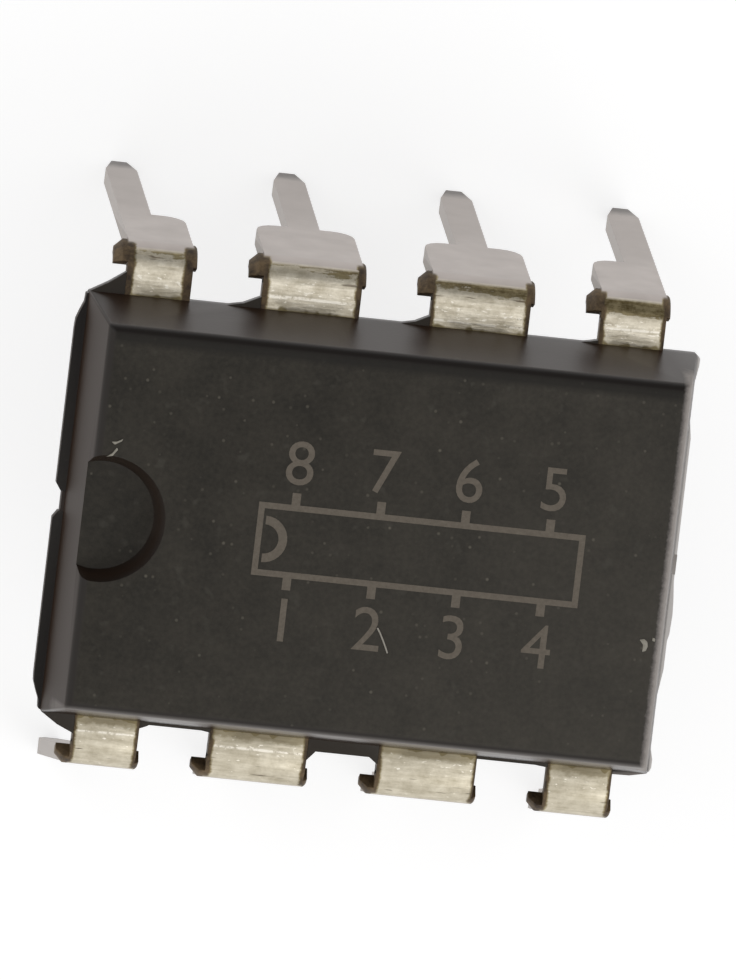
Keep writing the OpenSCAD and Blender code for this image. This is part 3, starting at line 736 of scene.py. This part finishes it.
def set_camera():
    """A long lens at the photograph's angle."""
    data = bpy.data.cameras.new("camera")
    data.sensor_fit = "VERTICAL"
    data.sensor_height = SENSOR
    data.lens = PIXELS_PER_MM * CAMERA_DISTANCE / IMAGE_HEIGHT * SENSOR
    data.clip_start = CAMERA_NEAR * MM
    data.clip_end = CAMERA_FAR * MM
    turn = Euler([math.radians(angle) for angle in CAMERA_TURN], "XYZ").to_matrix()
    camera = bpy.data.objects.new("camera", data)
    middle = Vector((0, 0, frame_top_z))
    camera.location = (middle + turn @ Vector((*CAMERA_SHIFT, CAMERA_DISTANCE))) * MM
    camera.rotation_euler = turn.to_euler()
    bpy.context.scene.collection.objects.link(camera)
    bpy.context.scene.camera = camera


def add_lamp(name, place, size, radiance):
    """A soft square lamp that looks at the chip; its power follows from its size and brightness."""
    data = bpy.data.lights.new(name, "AREA")
    data.shape = "SQUARE"
    data.size = size * MM
    data.energy = radiance * math.pi * (size * MM) ** 2
    lamp = bpy.data.objects.new(name, data)
    lamp.location = Vector(place) * MM
    aim = Vector((0, 0, top_z)) * MM - lamp.location
    lamp.rotation_euler = aim.to_track_quat("-Z", "Y").to_euler()
    bpy.context.scene.collection.objects.link(lamp)


# How strongly the white room lights the chip, against 1 where it is seen
AMBIENT = 0.62
# The room is darker behind the chip's back row, which shows in the bends and the long upper edge
DARK_SIDE = (0.0, 0.85, 0.53)
DARK_SHARE = 0.7
# The floor's own light and its paper's shade where it is seen, and the shade with which it lights the chip
FLOOR_LIFT = 0.72
FLOOR_SHADE = 0.48
FLOOR_PAPER = 0.9
# Half the floor's width
FLOOR_HALF = 600


def seen_as_background(nodes):
    """1 for rays that see the background, straight or in a gloss, and 0 for the light that it gives."""
    path = add(nodes, "ShaderNodeLightPath").outputs
    gloss = add(nodes, "ShaderNodeMath", {0: path["Is Camera Ray"], 1: path["Is Glossy Ray"]},
                operation="MAXIMUM")
    return add(nodes, "ShaderNodeMath", {0: gloss, 1: path["Is Transmission Ray"]},
               operation="MAXIMUM")


def set_surroundings():
    """A white room with a darker side, which the camera itself doesn't see."""
    world = bpy.data.worlds.new("studio")
    world.use_nodes = True
    nodes = world.node_tree.nodes
    nodes.clear()
    level = add(nodes, "ShaderNodeMapRange", {"Value": seen_as_background(nodes), "To Min": AMBIENT})
    towards = add(nodes, "ShaderNodeTexCoord").outputs["Generated"]
    towards = add(nodes, "ShaderNodeVectorMath", {0: towards, 1: DARK_SIDE}, operation="DOT_PRODUCT")
    dark = add(nodes, "ShaderNodeMapRange",
               {"Value": towards.outputs["Value"], "From Min": 0.7, "From Max": 0.95,
                "To Max": DARK_SHARE})
    seen = add(nodes, "ShaderNodeLightPath").outputs["Is Camera Ray"]
    unseen = add(nodes, "ShaderNodeMath", {0: 1.0, 1: seen}, operation="SUBTRACT")
    dark = add(nodes, "ShaderNodeMath", {0: dark, 1: unseen}, operation="MULTIPLY")
    light = add(nodes, "ShaderNodeMath", {0: 1.0, 1: dark}, operation="SUBTRACT")
    level = add(nodes, "ShaderNodeMath", {0: level, 1: light}, operation="MULTIPLY")
    sky = add(nodes, "ShaderNodeBackground", {"Color": srgb("#ffffff"), "Strength": level})
    add(nodes, "ShaderNodeOutputWorld", {"Surface": sky})
    bpy.context.scene.world = world


def white_paper():
    """Matt white paper, which glows a little where it is seen so that the shadows on it stay faint."""
    material = bpy.data.materials.new("studio_floor")
    material.use_nodes = True
    nodes = material.node_tree.nodes
    nodes.clear()
    seen = seen_as_background(nodes)
    shade = add(nodes, "ShaderNodeMapRange",
                {"Value": seen, "To Min": FLOOR_PAPER, "To Max": FLOOR_SHADE})
    paper = add(nodes, "ShaderNodeBsdfDiffuse", {"Color": shade})
    lift = add(nodes, "ShaderNodeMapRange", {"Value": seen, "To Max": FLOOR_LIFT})
    glow = add(nodes, "ShaderNodeEmission", {"Color": srgb("#ffffff"), "Strength": lift})
    both = add(nodes, "ShaderNodeAddShader", {0: paper, 1: glow})
    add(nodes, "ShaderNodeOutputMaterial", {"Surface": both})
    return material


def lay_floor():
    """A plain pale floor that keeps the shadow."""
    mesh = bmesh.new()
    bmesh.ops.create_grid(mesh, x_segments=1, y_segments=1, size=FLOOR_HALF * MM)
    data = bpy.data.meshes.new("floor")
    mesh.to_mesh(data)
    mesh.free()
    data.materials.append(white_paper())
    floor = bpy.data.objects.new("floor", data)
    bpy.context.scene.collection.objects.link(floor)


dress("package_body", moulded_epoxy(), round_off=0.012)
for lead in LEADS:
    dress(lead, tin_plated_strip(lead), round_off=0.03)
dress("die_paddle", paddle_copper(), round_off=0.004)
# Resin full of silver flakes, cured: pale, finely speckled and half metallic
adhesive = grained("silver_filled_adhesive", "#8f9296", "#c2c5c9", grain_width=0.025, rough=0.45,
                   metallic=0.6, depth=0.003)
dress("die_attach", adhesive, round_off=0.003)
# Sawn from a polished wafer: smooth, dark and bluish, with a clear gloss
silicon = grained("polished_silicon", "#3c434d", "#5a6472", grain_width=1 / 30, rough=0.2,
                  metallic=0.4, depth=0.0005)
dress("silicon_die", silicon, round_off=0.003)
# Drawn to a fine wire: smooth, warm and bright
gold = grained("drawn_gold", "#b98a32", "#e2b954", grain_width=1 / 60, rough=0.25, metallic=1.0,
               depth=0.001)
for wire in WIRES:
    dress(wire, gold, round_off=0.001)
build_marks()
build_chips()
build_fibre()
set_camera()
set_surroundings()
lay_floor()
add_lamp("key_lamp", place=(70, -55, 90), size=70, radiance=1.3)
add_lamp("fill_lamp", place=(-70, 60, 90), size=70, radiance=0.6)

bpy.context.scene.view_settings.view_transform = "Standard"
